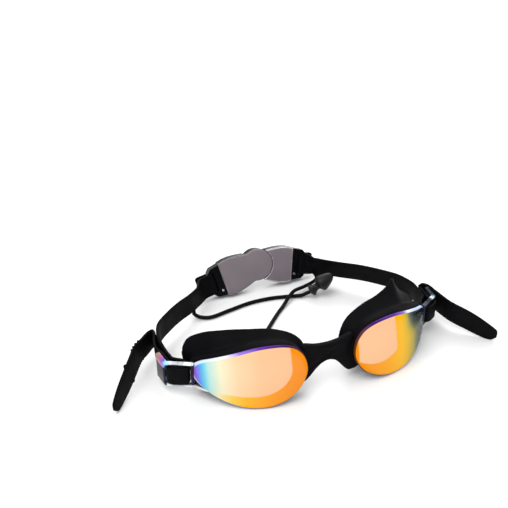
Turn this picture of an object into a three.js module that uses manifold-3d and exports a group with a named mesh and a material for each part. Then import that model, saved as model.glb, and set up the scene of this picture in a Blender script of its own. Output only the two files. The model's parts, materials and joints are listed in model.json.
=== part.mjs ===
// Swim goggles lying on a flat surface, in millimetres.
// X runs across the wearer's face (+X is the wearer's left), Y runs from the lenses back to
// the strap clasp, Z is up. The lenses and the clasp touch the plane Z = 0.
import * as THREE from 'three';
import { mergeVertices } from 'three/addons/utils/BufferGeometryUtils.js';
import Module from 'manifold-3d';

const wasm = await Module();
wasm.setup();

const GAP = 0.3; // clearance left between neighbouring pieces
const AROUND = 56; // points round an eye outline

// Lens
const LENS_OUTLINE = [
  [13.9, 18.8], [15.5, 26.3], [19.9, 31.6], [26.2, 34.5], [34.1, 35.6], [42.5, 35], [53, 31.8],
  [61.9, 28.1], [68.7, 24.3], [72.2, 20.2], [72.9, 16.5], [71.4, 11.8], [66.6, 7.1], [59.8, 3.4],
  [51.9, 0.9], [43.5, 0], [35, 0.6], [26.4, 3.2], [19.6, 7.6], [15.6, 13],
];
const LENS_CENTRE = [42.3, 18];
const WRAP_RADIUS = 60; // horizontal wrap of the lens about a vertical axis
const WRAP_START = 25; // half-width at which the wrap begins
const LENS_LEAN = 0.2; // how far the lens top leans back, per unit of height
const LENS_THICKNESS = 2.2;
const LENS_BEVEL = 1.3;
const LENS_BULGE = 2.2; // extra forward swell at the middle of the lens
const FILM_INSET = 2.6;
const FILM_GAP = 0.45;
const FILM_THICKNESS = 0.3;

// Strap lug at the temple end of each lens: a slotted loop that bends back half way along
const LUG_PLAN = [[72.9, 24], [85.1, 32.7], [86.6, 43.1]]; // root, bend and far end
const LUG_LEVEL = 12.6; // height of its middle at the bend
const LUG_FALL = 0.15; // it drops this much for each unit outwards
const LUG_DEPTH = 2.4;
const RAIL = 1.5;
const SLOT_HALF = 6.3;
const LUG_START = -1.5;
const BARS = { root: [LUG_START, 1.4], middle: [4.8, 10.2], end: [13.6, 25.4] };
const LUG_WEB = [[66.8, 14.6, 8.2], [71.6, 22.2, 15], [71.6, 22.2, 6.9]];
const WEB_BACK = [-1, 1.2, 0]; // from the front of the web to its back

// Gasket: its edge against the face, and the walls that run to it from behind the lens as
// (share of the way back, share of the way out to the face edge, how far inside)
// The left skirt is pulled up to a corner above the temple.
const FACE_UNDER = [[68.6, 33, 7], [60, 29, 2], [46.6, 25, 0.4], [33.6, 22, 0.4], [21.6, 18, 4.6], [13.6, 15, 12]];
const FACE_OUTLINE = {
  right: [[10.6, 14, 19.5], [11.6, 14.6, 26.6], [16.4, 17, 31.4], [27, 20, 35.6], [40, 22.6, 37.6],
    [53, 26, 38.2], [65, 30, 36.8], [72, 33.4, 32], [74.4, 35.2, 24], [73.6, 35.2, 15], ...FACE_UNDER],
  left: [[10.2, 14, 19.5], [11.4, 15, 27.4], [16.4, 17.4, 33], [27, 20.5, 37], [38, 23.4, 38.6],
    [46.5, 27, 40.2], [53, 31.4, 42], [56.2, 33.4, 36.4], [61.4, 35.2, 29.6], [71, 36.2, 21], [73.2, 35.2, 14],
    ...FACE_UNDER],
};
const CUP_OUTER = [[0, 0, 0.8], [0.2, 0.08, 1.8], [0.45, 0.25, 2.2], [0.7, 0.55, 1.4], [0.9, 0.88, 0.3], [1, 1, 0]];
const CUP_INNER = [[1, 1, 1.6], [0.9, 0.8, 3], [0.7, 0.42, 4.2], [0.45, 0.16, 4.6], [0.2, 0.04, 4.4], [0, 0, 4]];
const BRIDGE_OUTLINE = [
  [0, 27.8], [7, 28.2], [15, 29.4], [14.8, 22], [15.2, 16], [17.4, 11.6], [20.6, 7.6], [19, 5], [13.4, 5],
  [10.6, 7.6], [7.4, 11.8], [4, 15.2], [0, 16.6],
];
const BRIDGE_FRONT = 4.8;
const BRIDGE_BACK = 9.6;

// Strap
const STRAP_WIDTH = 14;
const LUG_STRAP_WIDTH = 12; // squeezed inside the lug
const TAIL_WIDTH = { left: 14.8, right: 12.4 };
const STRAP_THICKNESS = 1.6;
const STRAP_EDGE = 0.45;
const TIP_LENGTH = 0.16; // share of the strap run that narrows to the free tip

// Clasp: two halves turning on one stud, in a plane that leans back
const CLASP_CENTRE = [0.3, 114.2, 16.6];
const CLASP_LEAN = 18;
const CLASP_DROOP = { left: 11, right: 12 }; // how far each half hangs below the level
const ROUND_RADIUS = 10.7;
const PLATE_END = 25;
const LEAF = [[4.5, 9.7], [8, 10.6], [12, 11.5], [16, 12.1], [20.5, 12.2], [24.4, 11.6], [PLATE_END, 10.9]];
const BODY_INSET = 0.2; // the body stands this far inside the edge of its plate
const CROWN_INSET = 0.6; // sloping edge of the plate
const CROWN_HEIGHT = 0.5;
const BODY_END = 35.2;
const BODY_HALF = 9.8;
const BODY_CORNER = { left: 2.8, right: 4.2 };
const BODY_BACK = -3;
const BODY_FRONT = 2.6;
const PLATE_FRONT = 4;
const STRAP_WINDOW = [29.6, 32.8];
const WINDOW_HALF = 7.4;
const BAR_HALF_DEPTH = 1.1;
const STUD_RADIUS = 2.5;
const STUD_HEAD = 4.6;
const STUD_HEAD_BACK = -4.7;
const RIVET_RADIUS = 0.8;
const RIVET_PLACE = [27.2, -6.6];
const RIVET_DEPTH = 2;
const RIVET_PROUD = 0.4;

// Ear plugs and their cords
const CORD_DIAMETER = 2.1;
const CORD_SIDES = 8;
const PLUG_PROFILE = [
  [0, 0], [1.5, 0], [2.2, 0.6], [3.9, 1.4], [4.1, 2], [3.4, 3], [2.4, 4.6], [2.3, 6.2], [3.4, 7.4], [5.1, 8.4],
  [5.4, 9.2], [5.2, 10.6], [4.7, 12.6], [3.9, 14.8], [2.9, 16.8], [1.5, 18.3], [0, 18.8],
];
const CORDS = {
  right: {
    path: [[-50.2, 94, 3.7], [-48.2, 92, 2], [-44, 89.6, 1.2], [-39.6, 88.6, 1.1], [-26.7, 91.2, 1.1],
      [-11.6, 94, 1.1], [2.4, 93.8, 1.1], [15.3, 91.2, 1.1], [22.2, 88.6, 1.8], [27.2, 87, 3.9]],
    plugFrom: [27.6, 86.9, 4.1],
    plugTo: [42.1, 85.7, 10.4],
  },
  left: {
    path: [[40.4, 102.4, 2.8], [36.5, 98.6, 3.6], [32, 95.3, 4.6], [25.9, 93.3, 4.6], [18.2, 91.3, 4.4],
      [12, 86.8, 3], [6.8, 82.4, 1.4], [0.7, 76.7, 1.1], [-9.8, 65.5, 1.1], [-15.6, 58.4, 2.4], [-20, 53.6, 4.9]],
    plugFrom: [-20.4, 53.3, 5.2],
    plugTo: [-35.1, 45.1, 6.1],
  },
};

// Strap runs in plan, from the clasp to the lug, then the free tail beyond the lug
const RUNS = {
  left: [[40, 104.8, 11.3], [44.6, 98.6, 12.2], [51.6, 90.9, 13.1], [61.4, 81.5, 14], [70.2, 72, 14.2],
    [77.8, 61.6, 14.4], [81.6, 52, 13.8]],
  right: [[-45.5, 99, 11], [-52.9, 91.3, 12.6], [-61.2, 84.9, 13.6], [-69.6, 77.7, 14], [-79.2, 67.4, 14],
    [-82.2, 56, 13.8]],
};
const TAILS = {
  left: [[84.4, 46.2, 12.6], [86.6, 47.6, 12.7], [88.8, 45.4, 12.9], [90, 37.4, 12.9], [92.4, 24.8, 12.1],
    [99.5, 14.2, 9.4], [107.2, 5.4, 5.2], [111.5, 1.8, 2.9]],
  right: [[-85.5, 49.6, 12.6], [-84.5, 57, 12.4], [-82.8, 65, 12], [-83.4, 68.2, 11.6], [-85.8, 67.4, 11.4],
    [-89.8, 62.6, 11.4], [-94.8, 56.6, 11.6],
    [-100.1, 47.7, 11], [-105.4, 39.5, 9.2], [-111.4, 31.4, 6], [-116.4, 24.9, 2.8]],
};
const RUN_LEAN = { left: 0.28, right: 0 }; // sideways lean of the strap's width behind the lug
const TAIL_LEAN = { left: -0.1, right: 0.3 };

const SIDES = ['left', 'right'];
const vec = (p) => new THREE.Vector3(...p);
const sign = (side) => (side === 'left' ? 1 : -1);
const radians = THREE.MathUtils.degToRad;

// ---- shared geometry ----

function fromTriangles(points, faces) {
  const geometry = new THREE.BufferGeometry();
  geometry.setAttribute('position', new THREE.Float32BufferAttribute(points.flatMap((p) => [p.x, p.y, p.z]), 3));
  geometry.setIndex(faces.flat());
  return geometry;
}

// Skin over equal rings of points. An open run of rings is closed by a fan at each end,
// and a looped one joins its last ring to its first.
function skin(rings, looped = false) {
  const n = rings[0].length;
  const points = rings.flat();
  const faces = [];
  const joins = looped ? rings.length : rings.length - 1;
  for (let r = 0; r < joins; r += 1) {
    const a = r * n;
    const b = ((r + 1) % rings.length) * n;
    for (let i = 0; i < n; i += 1) {
      const j = (i + 1) % n;
      faces.push([a + i, a + j, b + j], [a + i, b + j, b + i]);
    }
  }
  if (!looped) {
    for (const [ring, start, flip] of [[rings[0], 0, true], [rings.at(-1), (rings.length - 1) * n, false]]) {
      const middle = ring.reduce((sum, p) => sum.add(p), new THREE.Vector3()).divideScalar(n);
      points.push(middle);
      for (let i = 0; i < n; i += 1) {
        const j = (i + 1) % n;
        const face = [start + i, start + j, points.length - 1];
        faces.push(flip ? face.reverse() : face);
      }
    }
  }
  return fromTriangles(points, faces);
}

function solid(geometry) {
  const bare = new THREE.BufferGeometry();
  bare.setAttribute('position', geometry.getAttribute('position').clone());
  if (geometry.index) bare.setIndex(geometry.index.clone());
  const merged = mergeVertices(bare, 1e-4);
  const mesh = new wasm.Mesh({
    numProp: 3,
    vertProperties: new Float32Array(merged.getAttribute('position').array),
    triVerts: new Uint32Array(merged.index.array),
  });
  return new wasm.Manifold(mesh);
}

function geometryOf(manifold) {
  const mesh = manifold.getMesh();
  const geometry = new THREE.BufferGeometry();
  geometry.setAttribute('position', new THREE.BufferAttribute(new Float32Array(mesh.vertProperties), 3));
  geometry.setIndex(new THREE.BufferAttribute(new Uint32Array(mesh.triVerts), 1));
  return geometry;
}

const joined = (geometries) => geometries.map(solid).reduce((a, b) => a.add(b));

function mirrored(geometry) {
  const copy = geometry.clone().scale(-1, 1, 1);
  const index = copy.index.array;
  for (let i = 0; i < index.length; i += 3) [index[i], index[i + 1]] = [index[i + 1], index[i]];
  return copy;
}

// Box between two corners of a local frame
function block(frame, low, high) {
  const size = high.map((h, i) => h - low[i]);
  const middle = high.map((h, i) => (h + low[i]) / 2);
  return new THREE.BoxGeometry(...size).translate(...middle).applyMatrix4(frame);
}

// Flat outline pushed out along the local Z of a frame
function prism(frame, outline, from, to) {
  const shape = new THREE.Shape(outline.map(([x, y]) => new THREE.Vector2(x, y)));
  const options = { depth: to - from, bevelEnabled: false, curveSegments: 1 };
  return new THREE.ExtrudeGeometry(shape, options).translate(0, 0, from).applyMatrix4(frame);
}

function disc(radius, segments = 48) {
  return Array.from({ length: segments }, (_, i) => {
    const angle = (i / segments) * 2 * Math.PI;
    return [radius * Math.cos(angle), radius * Math.sin(angle)];
  });
}

// ---- lenses ----

const lensCurve = new THREE.CatmullRomCurve3(LENS_OUTLINE.map(([x, z]) => new THREE.Vector3(x, 0, z)), true);
const lensOutline = lensCurve.getSpacedPoints(AROUND).slice(0, AROUND).map((p) => [p.x, p.z]);

function outlinePoint(i, offset) {
  const [x, z] = lensOutline[i];
  const reach = Math.hypot(x - LENS_CENTRE[0], z - LENS_CENTRE[1]);
  const scale = 1 + offset / reach;
  return [LENS_CENTRE[0] + (x - LENS_CENTRE[0]) * scale, LENS_CENTRE[1] + (z - LENS_CENTRE[1]) * scale];
}

function wrap(x, z) {
  const across = Math.max(x - WRAP_START, 0);
  return WRAP_RADIUS - Math.sqrt(WRAP_RADIUS ** 2 - across ** 2) + LENS_LEAN * (z - LENS_CENTRE[1]);
}

// Ring of the lens surface at a share of the inset outline, set back by a depth
function lensRing(share, inset, depth) {
  return lensOutline.map(([ox, oz]) => {
    const reach = Math.hypot(ox - LENS_CENTRE[0], oz - LENS_CENTRE[1]);
    const out = share * (1 - inset / reach);
    const x = LENS_CENTRE[0] + (ox - LENS_CENTRE[0]) * out;
    const z = LENS_CENTRE[1] + (oz - LENS_CENTRE[1]) * out;
    return new THREE.Vector3(x, wrap(x, z) + depth - LENS_BULGE * (1 - out ** 2), z);
  });
}

function lensShell(inset, front, thickness, bevel) {
  const shares = [0.2, 0.45, 0.7, 0.88];
  return skin([
    ...shares.map((s) => lensRing(s, inset + bevel, front)),
    lensRing(1, inset + bevel, front),
    lensRing(1, inset, front + bevel * 0.7),
    lensRing(1, inset, front + thickness),
    ...shares.toReversed().map((s) => lensRing(s, inset, front + thickness)),
  ]);
}

const lugLevel = (x) => LUG_LEVEL + LUG_FALL * (LUG_PLAN[1][0] - x);

// Plan position at a distance along the lug and a distance outside its middle line
function lugPlan(along, out) {
  const points = LUG_PLAN.map((p) => new THREE.Vector2(...p));
  const first = points[1].clone().sub(points[0]);
  const bent = along > first.length();
  const [start, run] = bent ? [points[1], points[2].clone().sub(points[1])] : [points[0], first];
  run.normalize();
  const reach = bent ? along - first.length() : along;
  return new THREE.Vector2(run.y, -run.x).multiplyScalar(out).addScaledVector(run, reach).add(start);
}

// Where the two legs of the lug meet, at a distance outside the middle line
function lugBend(out) {
  const length = new THREE.Vector2(...LUG_PLAN[1]).distanceTo(new THREE.Vector2(...LUG_PLAN[0]));
  const normals = [length, length + 1].map((along) => lugPlan(along, 1).sub(lugPlan(along, 0)));
  const mitre = normals[0].clone().add(normals[1]);
  return mitre.multiplyScalar(out / (1 + normals[0].dot(normals[1]))).add(new THREE.Vector2(...LUG_PLAN[1]));
}

// A length of the lug's own thickness, between two heights from its middle
function lugStrip([from, to], low, high) {
  const half = LUG_DEPTH / 2;
  const bend = new THREE.Vector2(...LUG_PLAN[1]).distanceTo(new THREE.Vector2(...LUG_PLAN[0]));
  const edge = (out) => [
    lugPlan(from, out), ...(from < bend && to > bend ? [lugBend(out)] : []), lugPlan(to, out),
  ];
  const outline = [...edge(half), ...edge(-half).reverse()].map((p) => [p.x, p.y]);
  const sloping = new THREE.Matrix4().makeShear(0, -LUG_FALL, 0, 0, 0, 0);
  return prism(sloping, outline, lugLevel(0) + low, lugLevel(0) + high);
}

function lug() {
  const rails = SLOT_HALF + RAIL;
  const whole = [LUG_START, BARS.end[1]];
  const web = LUG_WEB.map(vec);
  return [
    skin([web, web.map((p) => p.clone().add(vec(WEB_BACK)))]),
    lugStrip(whole, SLOT_HALF, rails),
    lugStrip(whole, -rails, -SLOT_HALF),
    ...Object.values(BARS).map((bar) => lugStrip(bar, -rails, rails)),
  ];
}

const lens = () => geometryOf(joined([lensShell(0, 0, LENS_THICKNESS, LENS_BEVEL), ...lug()]));
const film = () => lensShell(FILM_INSET, -FILM_GAP - FILM_THICKNESS, FILM_THICKNESS, 0);

// ---- gasket ----

function cup(side) {
  const faceCurve = new THREE.CatmullRomCurve3(FACE_OUTLINE[side].map(vec), true);
  const faceEdge = faceCurve.getSpacedPoints(AROUND).slice(0, AROUND);
  const rings = [...CUP_OUTER, ...CUP_INNER].map(([back, out, inside]) => lensOutline.map((_, i) => {
    const face = faceEdge[i];
    const [x, z] = outlinePoint(i, -inside * (1 - out));
    const rim = wrap(...outlinePoint(i, 0)) + LENS_THICKNESS + GAP;
    const drawn = new THREE.Vector3(LENS_CENTRE[0], face.y, LENS_CENTRE[1]).sub(face).setLength(inside * out);
    const point = new THREE.Vector3(x, rim, z).lerp(face, out).add(drawn);
    return point.setY(THREE.MathUtils.lerp(rim, face.y, back));
  }));
  return skin(rings, true);
}

// The bridge is an arch over the nose that widens down the side of each cup
function bridge() {
  const half = BRIDGE_OUTLINE.slice(1, -1);
  const far = half.toReversed().map(([x, z]) => [-x, z]);
  const outline = [BRIDGE_OUTLINE[0], ...half, BRIDGE_OUTLINE.at(-1), ...far].map(([x, z]) => [x, -z]);
  const upright = new THREE.Matrix4().makeRotationX(-Math.PI / 2);
  return prism(upright, outline, BRIDGE_FRONT, BRIDGE_BACK);
}

const gasket = () => geometryOf(joined([cup('left'), mirrored(cup('right')), bridge()]));

// ---- straps ----

// Flat band along a smooth path. Each path point has its own width direction.
function band(path, widths, steps, widthAt, thickness, edge) {
  const curve = new THREE.CatmullRomCurve3(path.map(vec), false, 'centripetal');
  const rings = [];
  for (let k = 0; k <= steps; k += 1) {
    const u = k / steps;
    const place = u * (path.length - 1);
    const i = Math.min(Math.floor(place), path.length - 2);
    const tangent = curve.getTangent(u);
    const across = widths[i].clone().lerp(widths[i + 1], place - i);
    across.addScaledVector(tangent, -across.dot(tangent)).normalize();
    const normal = tangent.clone().cross(across);
    const w = widthAt(u) / 2;
    const t = thickness / 2;
    const e = Math.min(edge, w / 2);
    const corners = [
      [w, t - e], [w - e, t], [e - w, t], [-w, t - e], [-w, e - t], [e - w, -t], [w - e, -t], [w, e - t],
    ];
    const centre = curve.getPoint(u);
    rings.push(corners.map(([a, b]) => centre.clone().addScaledVector(across, a).addScaledVector(normal, b)));
  }
  return skin(rings);
}

function claspFrame(side) {
  const lean = radians(CLASP_LEAN);
  const droop = radians(CLASP_DROOP[side]);
  const up = new THREE.Vector3(0, Math.sin(lean), Math.cos(lean));
  const level = new THREE.Vector3(sign(side), 0, 0);
  const along = level.clone().multiplyScalar(Math.cos(droop)).addScaledVector(up, -Math.sin(droop));
  const high = up.clone().multiplyScalar(Math.cos(droop)).addScaledVector(level, Math.sin(droop));
  const front = new THREE.Vector3(0, -Math.cos(lean), Math.sin(lean));
  return { along, high, front, centre: vec(CLASP_CENTRE) };
}

function claspPoint(side, a, b, n) {
  const f = claspFrame(side);
  return f.centre.clone().addScaledVector(f.along, a).addScaledVector(f.high, b).addScaledVector(f.front, n);
}

// The strap end folded round the clasp bar: (distance from the stud, distance in front)
const FOLD = [[41.5, -2.6], [38.4, -2.5], [35.4, -2.3], [33.2, -2.2], [31.7, -1.6], [31.1, 0], [31.7, 1.6],
  [33.2, 2.2], [35.4, 2.3]];

// Where the right strap leaves its own clasp end
const JOIN = [[38.2, 2.4], [39.8, 3]];

function lugPoint(side, along, out) {
  const p = lugPlan(along, out);
  return [p.x * sign(side), p.y, lugLevel(p.x)];
}

// Threading through the lug: (distance along the lug, distance outside it)
const THREAD = [[25.4, -5.3], [21, -5.4], [18.3, -5.5], [11, -5.5], [8, -4.9], [5.8, -3.9], [3.6, -1.8], [3.1, 0],
  [3.5, 1.9], [5.4, 2.7], [7.6, 2.9], [9.6, 2.8], [11.2, 1.9], [12, 0.4], [12.3, -1.2], [13.2, -2.6],
  [17, -2.9], [21, -2.9], [25.4, -2.8]];

// Share of the full width left at a share of the run: the free tip rounds off
function tipTaper(u) {
  const tip = Math.min((1 - u) / TIP_LENGTH, 1);
  return 0.3 + 0.7 * Math.sqrt(1 - (1 - tip) ** 2);
}

const foldPath = (side) => FOLD.map(([a, n]) => claspPoint(side, a, 0, n).toArray());
const claspUp = (side, path) => path.map(() => claspFrame(side).high);

function leaning(side, path, lean) {
  const outward = sign(side);
  return path.map(() => new THREE.Vector3(-outward * lean * 0.64, -lean * 0.77, 1).normalize());
}

function strap(side) {
  const start = side === 'left' ? foldPath(side) : JOIN.map(([a, n]) => claspPoint(side, a, 0, n).toArray());
  const thread = THREAD.map(([s, n]) => lugPoint(side, s, n));
  const path = [...start, ...RUNS[side], ...thread, ...TAILS[side]];
  const tailLean = TAILS[side].map((_, i, all) => {
    const share = Math.min((2 * (i + 1)) / all.length, 1);
    return new THREE.Vector3(sign(side) * TAIL_LEAN[side] * share, -0.1 * share, 1).normalize();
  });
  const across = [
    ...claspUp(side, start), ...leaning(side, RUNS[side], RUN_LEAN[side]), ...leaning(side, thread, 0), ...tailLean,
  ];
  const wide = start.length + RUNS[side].length;
  const widths = path.map((_, i) => (
    i < wide ? STRAP_WIDTH : i < wide + thread.length ? LUG_STRAP_WIDTH : TAIL_WIDTH[side]));
  const widthAt = (u) => {
    const place = u * (path.length - 1);
    const i = Math.min(Math.floor(place), path.length - 2);
    return THREE.MathUtils.lerp(widths[i], widths[i + 1], place - i) * tipTaper(u);
  };
  return band(path, across, 3 * path.length, widthAt, STRAP_THICKNESS, STRAP_EDGE);
}

function strapEnd(side) {
  const path = [...foldPath(side), claspPoint(side, 37, 0, 2.4).toArray()];
  return band(path, claspUp(side, path), 30, () => STRAP_WIDTH, STRAP_THICKNESS, STRAP_EDGE);
}

// ---- clasp ----

// Outline of one half in the clasp plane: the round end, then a leaf that widens to the strap end
function halfOutline(inset) {
  const arc = [];
  const open = Math.atan2(LEAF[0][1], LEAF[0][0]);
  const radius = ROUND_RADIUS - inset;
  for (let i = 0; i <= 20; i += 1) {
    const angle = open + (i / 20) * 2 * (Math.PI - open);
    arc.push([radius * Math.cos(angle), radius * Math.sin(angle)]);
  }
  const low = LEAF.slice(1).map(([a, b]) => [Math.min(a, PLATE_END - inset), inset - b]);
  return [...arc, ...low, ...low.toReversed().map(([a, b]) => [a, -b])];
}

function claspMatrix(side) {
  const f = claspFrame(side);
  const high = f.front.clone().cross(f.along);
  return new THREE.Matrix4().makeBasis(f.along, high, f.front).setPosition(f.centre);
}

// In the clasp matrix of the right half the second axis points down
const downward = (side) => (side === 'left' ? 1 : -1);

function claspBody(side) {
  const frame = claspMatrix(side);
  const outline = halfOutline(BODY_INSET);
  const wide = LEAF.at(-2)[1] - BODY_INSET;
  const corner = BODY_CORNER[side];
  const lower = [[LEAF.at(-2)[0] - corner, -wide], [BODY_END - corner, -BODY_HALF], [BODY_END, corner - BODY_HALF]];
  const tail = [...lower, ...lower.toReversed().map(([a, b]) => [a, -b])];
  const layer = side === 'left' ? [BODY_BACK, -GAP] : [0, BODY_FRONT];
  const thick = [BODY_BACK, BODY_FRONT];
  const clear = disc(ROUND_RADIUS + 0.8);
  const arm = solid(prism(frame, outline, ...thick)).subtract(solid(prism(frame, clear, -9, 9)));
  let body = solid(prism(frame, outline, ...layer)).add(arm).add(solid(prism(frame, tail, ...thick)));
  const [inner, outer] = STRAP_WINDOW;
  const cuts = [
    block(frame, [inner, -WINDOW_HALF, -9], [outer, WINDOW_HALF, 9]),
    block(frame, [inner, -WINDOW_HALF, BAR_HALF_DEPTH], [BODY_END + 1, WINDOW_HALF, 9]),
    block(frame, [inner, -WINDOW_HALF, -9], [BODY_END + 1, WINDOW_HALF, -BAR_HALF_DEPTH]),
    prism(frame, disc(STUD_RADIUS + GAP), -9, 9),
    prism(frame, disc(RIVET_RADIUS + GAP, 16).map(rivetPoint(side)), BODY_FRONT - RIVET_DEPTH, 9),
  ];
  for (const cut of cuts) body = body.subtract(solid(cut));
  return geometryOf(body);
}

const rivetPoint = (side) => ([x, y]) => [x + RIVET_PLACE[0], y + RIVET_PLACE[1] * downward(side)];

function claspPlate(side) {
  const frame = claspMatrix(side);
  const from = BODY_FRONT + GAP;
  const low = solid(prism(frame, halfOutline(0), from, PLATE_FRONT - CROWN_HEIGHT));
  const crown = solid(prism(frame, halfOutline(CROWN_INSET), from, PLATE_FRONT));
  let plate = low.add(crown);
  if (side === 'left') plate = plate.subtract(solid(prism(frame, disc(ROUND_RADIUS + 0.4), -9, 9)));
  return geometryOf(plate);
}

function claspStud() {
  const frame = claspMatrix('left');
  const shank = prism(frame, disc(STUD_RADIUS, 32), STUD_HEAD_BACK + 0.5, BODY_FRONT);
  const head = prism(frame, disc(STUD_HEAD, 32), STUD_HEAD_BACK, BODY_BACK - GAP);
  return geometryOf(joined([shank, head]));
}

function claspRivet(side) {
  const ring = disc(RIVET_RADIUS, 16).map(rivetPoint(side));
  return prism(claspMatrix(side), ring, BODY_FRONT - RIVET_DEPTH + GAP, BODY_FRONT + RIVET_PROUD);
}

// ---- ear plugs ----

function cord(side) {
  const sides = disc(CORD_DIAMETER / 2, CORD_SIDES).map(([x, y]) => new THREE.Vector2(x, y));
  const extrudePath = new THREE.CatmullRomCurve3(CORDS[side].path.map(vec), false, 'centripetal');
  return new THREE.ExtrudeGeometry(new THREE.Shape(sides), { steps: 26, bevelEnabled: false, extrudePath });
}

function earPlug(side) {
  const { plugFrom, plugTo } = CORDS[side];
  const profile = PLUG_PROFILE.map(([r, h]) => new THREE.Vector2(r, h));
  const axis = vec(plugTo).sub(vec(plugFrom)).normalize();
  const turn = new THREE.Quaternion().setFromUnitVectors(new THREE.Vector3(0, 1, 0), axis);
  return new THREE.LatheGeometry(profile, 20).applyQuaternion(turn).translate(...plugFrom);
}

// ---- assembly ----

const FINISH = {
  mirror: { color: 0xe8a21c, roughness: 0.08, metalness: 0.9 },
  film: { color: 0xf2e6d8, roughness: 0.15, metalness: 0 },
  silicone: { color: 0x232126, roughness: 0.6, metalness: 0 },
  gloss: { color: 0x0c0c0e, roughness: 0.2, metalness: 0 },
  satin: { color: 0x7a7378, roughness: 0.45, metalness: 0.6 },
  steel: { color: 0xc9cbd0, roughness: 0.3, metalness: 1 },
};

function mesh(name, geometry, finish) {
  const piece = new THREE.Mesh(geometry, new THREE.MeshStandardMaterial(FINISH[finish]));
  piece.name = name;
  return piece;
}

const goggles = new THREE.Group();
goggles.name = 'swim_goggles';
goggles.add(mesh('gasket', gasket(), 'silicone'), mesh('clasp_stud', claspStud(), 'gloss'));
for (const side of SIDES) {
  const placed = (geometry) => (side === 'left' ? geometry : mirrored(geometry));
  goggles.add(
    mesh(`lens_${side}`, placed(lens()), 'mirror'),
    mesh(`lens_film_${side}`, placed(film()), 'film'),
    mesh(`strap_${side}`, strap(side), 'silicone'),
    mesh(`clasp_body_${side}`, claspBody(side), 'gloss'),
    mesh(`clasp_plate_${side}`, claspPlate(side), 'satin'),
    mesh(`clasp_rivet_${side}`, claspRivet(side), 'steel'),
    mesh(`ear_plug_cord_${side}`, cord(side), 'silicone'),
    mesh(`ear_plug_${side}`, earPlug(side), 'silicone'),
  );
}
goggles.add(mesh('strap_right_end', strapEnd('right'), 'silicone'));

// The origin goes to the middle of the footprint, with the cords and plugs left out of it
const footprint = new THREE.Box3();
for (const piece of goggles.children) {
  if (!piece.name.startsWith('ear_plug')) footprint.expandByObject(piece);
}
const middle = footprint.getCenter(new THREE.Vector3()).setZ(footprint.min.z);
for (const piece of goggles.children) piece.geometry.translate(-middle.x, -middle.y, -middle.z);

export default goggles;
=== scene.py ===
import json
import math

import bmesh
import bpy
from mathutils import Matrix, Vector


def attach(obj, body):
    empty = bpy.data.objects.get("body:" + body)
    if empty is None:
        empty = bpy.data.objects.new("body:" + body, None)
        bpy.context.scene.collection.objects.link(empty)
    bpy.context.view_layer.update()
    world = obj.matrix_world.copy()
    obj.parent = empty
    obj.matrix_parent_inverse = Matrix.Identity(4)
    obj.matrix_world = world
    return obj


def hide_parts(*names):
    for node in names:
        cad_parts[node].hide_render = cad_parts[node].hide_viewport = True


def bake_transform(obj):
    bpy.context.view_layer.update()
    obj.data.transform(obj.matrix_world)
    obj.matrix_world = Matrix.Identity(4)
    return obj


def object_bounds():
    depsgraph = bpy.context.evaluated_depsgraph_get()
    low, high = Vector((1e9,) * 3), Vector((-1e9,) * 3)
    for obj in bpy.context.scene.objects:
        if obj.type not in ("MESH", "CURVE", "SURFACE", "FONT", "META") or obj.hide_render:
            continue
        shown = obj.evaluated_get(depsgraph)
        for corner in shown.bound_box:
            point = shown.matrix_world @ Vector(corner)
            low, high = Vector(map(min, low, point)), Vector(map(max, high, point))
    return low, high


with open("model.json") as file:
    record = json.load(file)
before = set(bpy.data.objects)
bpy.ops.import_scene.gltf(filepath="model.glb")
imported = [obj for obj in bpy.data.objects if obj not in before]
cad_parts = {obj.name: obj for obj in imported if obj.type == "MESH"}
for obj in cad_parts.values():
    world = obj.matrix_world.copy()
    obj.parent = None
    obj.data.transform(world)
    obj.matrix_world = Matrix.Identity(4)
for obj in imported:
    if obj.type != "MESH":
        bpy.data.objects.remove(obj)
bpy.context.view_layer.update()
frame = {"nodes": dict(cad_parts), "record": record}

MM = 0.001
JOINT = frame["record"]["behaviour"]["joints"][0]
PIVOT = Vector(JOINT["pos_m"])

# The part was drawn from its own middle; OFFSET is where that drawing origin sits in the row frame.
OFFSET = PIVOT - Vector((0.3, 114.2, 16.6)) * MM


def at(x, y, z):
    return OFFSET + Vector((x, y, z)) * MM


# ---- camera ----

def add_camera():
    data = bpy.data.cameras.new("camera")
    data.sensor_width = 36
    data.lens = 55.25
    data.clip_start, data.clip_end = 0.01, 20
    cam = bpy.data.objects.new("camera", data)
    bpy.context.scene.collection.objects.link(cam)
    azimuth, elevation, roll = (math.radians(v) for v in (-21.27, 30.87, -0.66))
    back = Vector((math.sin(azimuth) * math.cos(elevation), -math.cos(azimuth) * math.cos(elevation),
                   math.sin(elevation)))
    right = Vector((math.cos(azimuth), math.sin(azimuth), 0))
    up = back.cross(right)
    level = Matrix((right, up, back)).transposed()
    turned = level @ Matrix.Rotation(roll, 3, "Z")
    cam.matrix_world = Matrix.Translation(at(-160.4, -296.2, 287.7)) @ turned.to_4x4()
    bpy.context.scene.camera = cam
    bpy.context.scene.view_settings.view_transform = "Standard"


add_camera()


# ---- materials ----

def material(name, base=(0.5, 0.5, 0.5), **sockets):
    m = bpy.data.materials.new(name)
    m.use_nodes = True
    shader = m.node_tree.nodes["Principled BSDF"]
    shader.inputs["Base Color"].default_value = (*base, 1)
    for key, value in sockets.items():
        shader.inputs[key.replace("_", " ")].default_value = value
    return m, m.node_tree, shader


def node(tree, kind, **settings):
    n = tree.nodes.new(kind)
    for key, value in settings.items():
        setattr(n, key, value)
    return n


def ramp(tree, source, stops):
    n = node(tree, "ShaderNodeValToRGB")
    while len(n.color_ramp.elements) < len(stops):
        n.color_ramp.elements.new(0.5)
    for element, (place, colour) in zip(n.color_ramp.elements, stops):
        element.position = place
        element.color = (*colour, 1) if len(colour) == 3 else colour
    tree.links.new(source, n.inputs["Fac"])
    return n


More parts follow.
